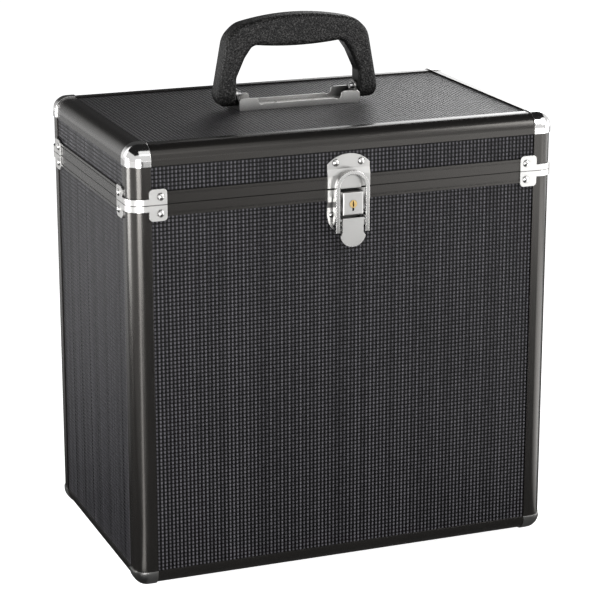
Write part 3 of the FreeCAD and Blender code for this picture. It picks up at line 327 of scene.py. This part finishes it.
def grip_material():
    """Black moulded plastic, pebble-grained outside with painted glints, smooth inside the loop.
    """
    graph = Surface("grip_plastic")
    low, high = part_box("handle_grip")
    heart = (low + high) / 2
    heart.z = low.z + HEART_HEIGHT
    to_heart = graph.add("VectorMath", {0: heart, 1: graph.place}, operation="SUBTRACT")
    inward = graph.add("VectorMath", {0: to_heart.outputs[0]}, operation="NORMALIZE")
    facing_in = graph.dot(inward.outputs[0], graph.normal)
    grained = graph.ranged(facing_in, FACING_SPAN, (1.0, GRIP_SMOOTH))

    cells = {"Vector": graph.place, "Scale": PEBBLE_SCALE, "Smoothness": 0.5}
    gaps = graph.add("TexVoronoi", cells, feature="SMOOTH_F1").outputs["Distance"]
    pebbles = graph.times(graph.math("SUBTRACT", 1.0, gaps), grained)
    swells = graph.noise(GRIP_SWELL_SCALE, detail=2.0)
    swollen = graph.bump(swells, GRIP_SWELL_HEIGHT, strength=0.3, normal=graph.rounded(GRIP_EDGE))
    # Painted glints: light flecks on the grain, in place of the glints that light makes there.
    painted_glints = graph.ranged(graph.noise(GLINT_SCALE, detail=2.0, rough=0.7), GLINT_SPAN)
    return graph.finish(color=graph.mix(graph.times(painted_glints, grained), GRIP_BLACK, PAINTED_GLINT_COLOR),
                        rough=graph.ranged(grained, (0.1, 1.0), GRIP_ROUGH), specular=0.16,
                        normal=graph.bump(pebbles, PEBBLE_HEIGHT, strength=1.0, normal=swollen))


def rubber_material():
    graph = Surface("rubber")
    grain = graph.noise(RUBBER_SCALE)
    return graph.finish(color=graph.mix(grain, *RUBBER_TONES),
                        rough=graph.ranged(grain, NOISE_SPAN, RUBBER_ROUGH),
                        normal=graph.bump(grain, 0.05 * MM, strength=0.4))


def felt_material():
    graph = Surface("felt")
    fibres = graph.noise(FIBRE_SCALE, detail=5.0, rough=0.75)
    tufts = graph.bump(graph.noise(TUFT_SCALE), TUFT_HEIGHT, strength=0.4)
    return graph.finish(color=graph.mix(fibres, *FELT_TONES), rough=0.95, sheen=0.3,
                        normal=graph.bump(fibres, FIBRE_HEIGHT, strength=0.8, normal=tufts))


# Finishes. A piece of the model has the first one whose word is in its name.

felt = felt_material()
steel = plated_material("steel", 0.55, (0.25, 0.35), tint=STEEL_TINT)
rails_across = rail_material("rail_across", X)
FINISHES = (
    ("front_panel", board_material("front", X, Z, (0, -1, 0))),
    ("back_panel", board_material("back", X, Z, (0, 1, 0))),
    ("left_panel", board_material("left", Y, Z, (-1, 0, 0), joins=0.0, raised=0.25 * MM,
                                  streaks=0.6)),
    ("right_panel", board_material("right", Y, Z, (1, 0, 0))),
    ("top_panel", board_material("top", X, Y, (0, 0, 1), joins=0.2, raised=1.2 * MM,
                                 specular=0.14)),
    ("bottom_panel", board_material("bottom", X, Y, (0, 0, -1))),
    ("post", rail_material("rail_upright", Z)),
    ("sides", rail_material("rail_deep", Y)),
    ("rail", rails_across),
    ("rim", rails_across),
    ("lid_corner", plated_material("ball_chrome", 0.66, (0.10, 0.15), tint=CHROME_TINT,
                                   edge=BALL_EDGE, shade=1.0)),
    ("base_corner", plated_material("ball_steel", 0.34, (0.3, 0.36), edge=BALL_EDGE, shade=1.0)),
    ("grip", grip_material()),
    ("feet", rubber_material()),
    ("pad", felt),
    ("key", brass_material()),
    ("pin", steel),
    ("screws", steel),
    ("rivets", plated_material("rivet_nickel", 0.42, (0.24, 0.3))),
    ("seam_brackets", plated_material("bracket_nickel", 0.56, (0.32, 0.38))),
    ("leaves", plated_material("nickel", 0.6, (0.31, 0.36))),
    # The handle's bracket: painted shade reaches far into its channel.
    ("handle", plated_material("saddle_nickel", 0.74, (0.3, 0.35), shade=0.1, reach=16.0 * MM)),
    ("loop", plated_material("loop_nickel", 0.42, (0.18, 0.24), edge=0.9 * MM)),
    ("latch", plated_material("satin_nickel", 0.47, (0.34, 0.40))),
)


for name, obj in frame["nodes"].items():
    for slot in obj.material_slots:
        slot.material = next(material for word, material in FINISHES if word in name)


def add_object(name, data):
    """A new object in the scene."""
    obj = bpy.data.objects.new(name, data)
    bpy.context.scene.collection.objects.link(obj)
    return obj


# Linings: foam pads under felt.

PAD_COLUMNS, PAD_ROWS = 33, 19
PAD_SWELL = 4 * MM    # how fast the pad gets thicker, from its edge inward
PAD_SUNK = 0.06       # how far the felt lies within the plain pad, as a share of its thickness
PAD_EDGE_SUNK = 0.42  # and how much further at the edge


def pad_sheet(build, low, high, upper, crowned):
    """The upper or the lower face of a pad, as rows of vertices."""
    size = high - low
    sheet = []
    for row in range(PAD_ROWS + 1):
        line = []
        for column in range(PAD_COLUMNS + 1):
            u, v = column / PAD_COLUMNS, row / PAD_ROWS
            edge = min(u * size.x, (1 - u) * size.x, v * size.y, (1 - v) * size.y)
            sunk = PAD_EDGE_SUNK * math.exp(-edge / PAD_SWELL) + PAD_SUNK if crowned else 0.0
            z = high.z - sunk * size.z if upper else low.z + sunk * size.z
            line.append(build.verts.new((low.x + u * size.x, low.y + v * size.y, z)))
        sheet.append(line)
    return sheet


def pad(name, node, body, faces_up):
    """A felt pad with a crowned face, which looks up or down, in a plain pad's place."""
    low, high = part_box(node)
    build = bmesh.new()
    lower = pad_sheet(build, low, high, False, not faces_up)
    upper = pad_sheet(build, low, high, True, faces_up)
    for sheet in (lower, upper):
        for row in range(PAD_ROWS):
            for column in range(PAD_COLUMNS):
                corners = [sheet[row][column], sheet[row][column + 1],
                           sheet[row + 1][column + 1], sheet[row + 1][column]]
                build.faces.new(corners if sheet is upper else corners[::-1])
    rim = [(0, column) for column in range(PAD_COLUMNS)]
    rim += [(row, PAD_COLUMNS) for row in range(PAD_ROWS)]
    rim += [(PAD_ROWS, column) for column in range(PAD_COLUMNS, 0, -1)]
    rim += [(row, 0) for row in range(PAD_ROWS, 0, -1)]
    for (row, column), (next_row, next_column) in zip(rim, rim[1:] + rim[:1]):
        build.faces.new([lower[row][column], lower[next_row][next_column],
                         upper[next_row][next_column], upper[row][column]])
    bmesh.ops.recalc_face_normals(build, faces=build.faces)
    mesh = bpy.data.meshes.new(name)
    build.to_mesh(mesh)
    build.free()
    mesh.shade_smooth()
    mesh.materials.append(felt)
    obj = add_object(name, mesh)
    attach(obj, body)
    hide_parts(node)


pad("floor_pad_felt", "body_floor_pad", "case", True)
pad("roof_pad_felt", "lid_roof_pad", "lid", False)


# Floor and surroundings.

FLOOR_REACH = 6.0
FLOOR_COLOR = gray(0.6)
FLOOR_GLOW = 0.95  # only where it is seen, so that the floor is white round the case's shadow
WORLD_LIGHT = 0.2  # the strength of the plain light from all round


def stage_sheet(name, corners, material):
    mesh = bpy.data.meshes.new(name)
    mesh.from_pydata(corners, [], [tuple(range(len(corners)))])
    mesh.materials.append(material)
    obj = add_object(name, mesh)
    return obj


def flat(height, *corners):
    """The corners of a sheet that lies level."""
    return [(x, y, height) for x, y in corners]


def oblong(low, high):
    """The corners on plan of an oblong, from its lowest and its highest one."""
    return low, (high[0], low[1]), high, (low[0], high[1])


def floor():
    """A white floor that keeps the case's shadow."""
    graph = Surface("floor_white")
    white = graph.finish(color=FLOOR_COLOR, rough=0.9, specular=0.0, glow=WHITE,
                         glow_strength=graph.times(graph.seen(), FLOOR_GLOW))
    corners = oblong((-FLOOR_REACH, -FLOOR_REACH), (FLOOR_REACH, FLOOR_REACH))
    stage_sheet("floor", flat(0.0, *corners), white)


def world():
    """White surroundings, which light things plainly."""
    surroundings = bpy.data.worlds.new("studio")
    surroundings.use_nodes = True
    graph = Graph(surroundings.node_tree)
    back = graph.tree.nodes["Background"]
    graph.put(back.inputs["Color"], WHITE)
    graph.put(back.inputs["Strength"], graph.ranged(graph.seen(), (0.0, 1.0), (WORLD_LIGHT, 1.0)))
    bpy.context.scene.world = surroundings


floor()
world()


# Cards, which the rails and the plated metal reflect. Most lie in layers on the floor.

CARD_LIFT = 2.5 * MM
CARD_STEP = 0.5 * MM
BACK_Y = 1.25
BACK_LOW, BACK_HIGH = 0.3, 1.6
RIGHT_X = 1.3
RIGHT_HIGH = 0.6
OVER_REACH, OVER_HEIGHT = 1.6, 1.5


def layer(step):
    """The height of a layer of cards."""
    return CARD_LIFT + step * CARD_STEP


def upright(start, end, low, high):
    """The corners of a sheet that stands on the line from start to end."""
    return [(*start, low), (*end, low), (*end, high), (*start, high)]


def card(name, corners, level, far_level=None, along=None, span=None):
    """A card that only reflections see, as a photographer sets round glossy things.

    It glows at one level, or evenly from level to far_level as the place along a direction
    goes over the span.
    """
    graph = Surface(name)
    if far_level is not None:
        level = graph.ranged(graph.dot(graph.place, along), span, (level, far_level))
    glowing = graph.finish(color=gray(0.0), rough=1.0, specular=0.0, glow=WHITE,
                           glow_strength=level)
    obj = stage_sheet(name, corners, glowing)
    obj.visible_camera = False
    obj.visible_diffuse = False
    obj.visible_shadow = False
    obj.visible_transmission = False


card("card_front", flat(layer(1), (-0.22, -0.09), (0.45, -0.09), (1.7, -2.3), (-0.12, -2.3)),
     level=0.1, far_level=2.9, along=(2.5, -1.0, 0.0), span=(2.1, 3.0))
card("card_front_left", flat(layer(1), *oblong((-1.0, -0.9), (-0.22, 0.0))),
     level=0.14, far_level=0.9, along=(-0.66, -0.75, 0.0), span=(0.3, 0.75))
card("card_left", flat(layer(2), (-1.1, 1.9), (-0.9, -0.2), (-0.17, -0.2), (-0.1, 1.9)),
     level=0.02, far_level=0.64, along=(0.0, 1.0, 0.0), span=(0.1, 0.75))
card("card_under", flat(layer(0), *oblong((-0.3, -0.25), (0.3, 0.3))), level=0.18)
card("card_post", flat(layer(4), (-0.2, -0.124), (-0.18, -0.136), (-0.61, -1.24), (-0.79, -1.15)),
     level=4.0, far_level=6.0, along=(0.0, -1.0, 0.0), span=(0.1, 0.6))
card("card_back", upright((-0.4, BACK_Y), (1.6, BACK_Y), BACK_LOW, BACK_HIGH),
     level=0.07, far_level=4.2, along=(1.0, 0.0, 0.0), span=(0.38, 0.88))
card("card_back_left", upright((-2.2, BACK_Y), (-0.4, BACK_Y), BACK_LOW, BACK_HIGH),
     level=0.06, far_level=2.0, along=(-1.0, 0.0, 0.0), span=(0.4, 0.9))
card("card_floor_right", flat(layer(1), (0.19, -0.1), (2.2, 0.3), (1.6, BACK_Y), (0.19, BACK_Y)),
     level=0.1)
card("card_front_right", flat(layer(3), (0.2, -0.1), (1.0, -1.62), (1.7, -1.62), (0.9, -0.1)),
     level=0.2, far_level=4.5, along=(0.886, 0.463, 0.0), span=(0.07, 0.27))
card("card_right", upright((RIGHT_X, -1.3), (RIGHT_X, 0.25), 0.0, RIGHT_HIGH),
     level=0.3, far_level=3.6, along=(0.0, 1.0, 0.0), span=(-1.3, -0.1))
card("card_over", flat(OVER_HEIGHT, *oblong((-OVER_REACH, -OVER_REACH), (OVER_REACH, BACK_Y))),
     level=0.02)


# Lamps.

def softbox(name, place, aim, size, radiance, mirrored=True):
    """A rectangular lamp that faces its aim. Its radiance is the same at any size."""
    data = bpy.data.lights.new(name, "AREA")
    data.shape = "RECTANGLE"
    data.size, data.size_y = size
    data.energy = radiance * math.pi * size[0] * size[1]
    obj = add_object(name, data)
    obj.location = place
    obj.rotation_euler = (Vector(aim) - Vector(place)).to_track_quat("-Z", "Y").to_euler()
    obj.visible_camera = False
    obj.visible_glossy = mirrored


FRONT = (0.0, -0.1, 0.3)  # where the lamps aim
RIGHT = (0.1, -0.05, 0.25)
LEFT = (-0.17, 0.0, 0.22)
LEFT_POST = (-0.17, -0.1, 0.25)

softbox("key", (0.0, -0.75, 1.05), FRONT, size=(0.6, 0.6), radiance=1.3)
softbox("fill", (0.8, -0.65, 0.8), RIGHT, size=(0.6, 0.6), radiance=9.0)
softbox("strip_front_left", (-0.52, -1.15, 0.22), LEFT_POST, size=(0.6, 0.4), radiance=17.0)
softbox("strip_back_left", (-1.1, 0.2, 0.2), LEFT_POST, size=(0.55, 0.35), radiance=14.0)
softbox("wash_left", (-1.3, 0.0, 0.55), LEFT, size=(0.9, 0.9), radiance=5.0, mirrored=False)


# Camera, at the photo's place and angle.

CAMERA_PLACE = (-0.65744, -1.69506, 0.72423)
CAMERA_DOWN, CAMERA_RIGHT = math.radians(16.376), math.radians(21.259)  # from level along Y
PHOTO_PIXELS, FOCAL_PIXELS = 600, 2305.7
SENSOR_MILLIMETRES = 36.0


def camera():
    data = bpy.data.cameras.new("camera")
    data.sensor_width = SENSOR_MILLIMETRES
    data.lens = SENSOR_MILLIMETRES * FOCAL_PIXELS / PHOTO_PIXELS
    data.clip_start, data.clip_end = 0.05, 50.0
    obj = add_object("camera", data)
    obj.location = CAMERA_PLACE
    obj.rotation_euler = Euler((math.radians(90) - CAMERA_DOWN, 0.0, -CAMERA_RIGHT))
    bpy.context.scene.camera = obj


camera()
bpy.context.scene.view_settings.view_transform = "Standard"
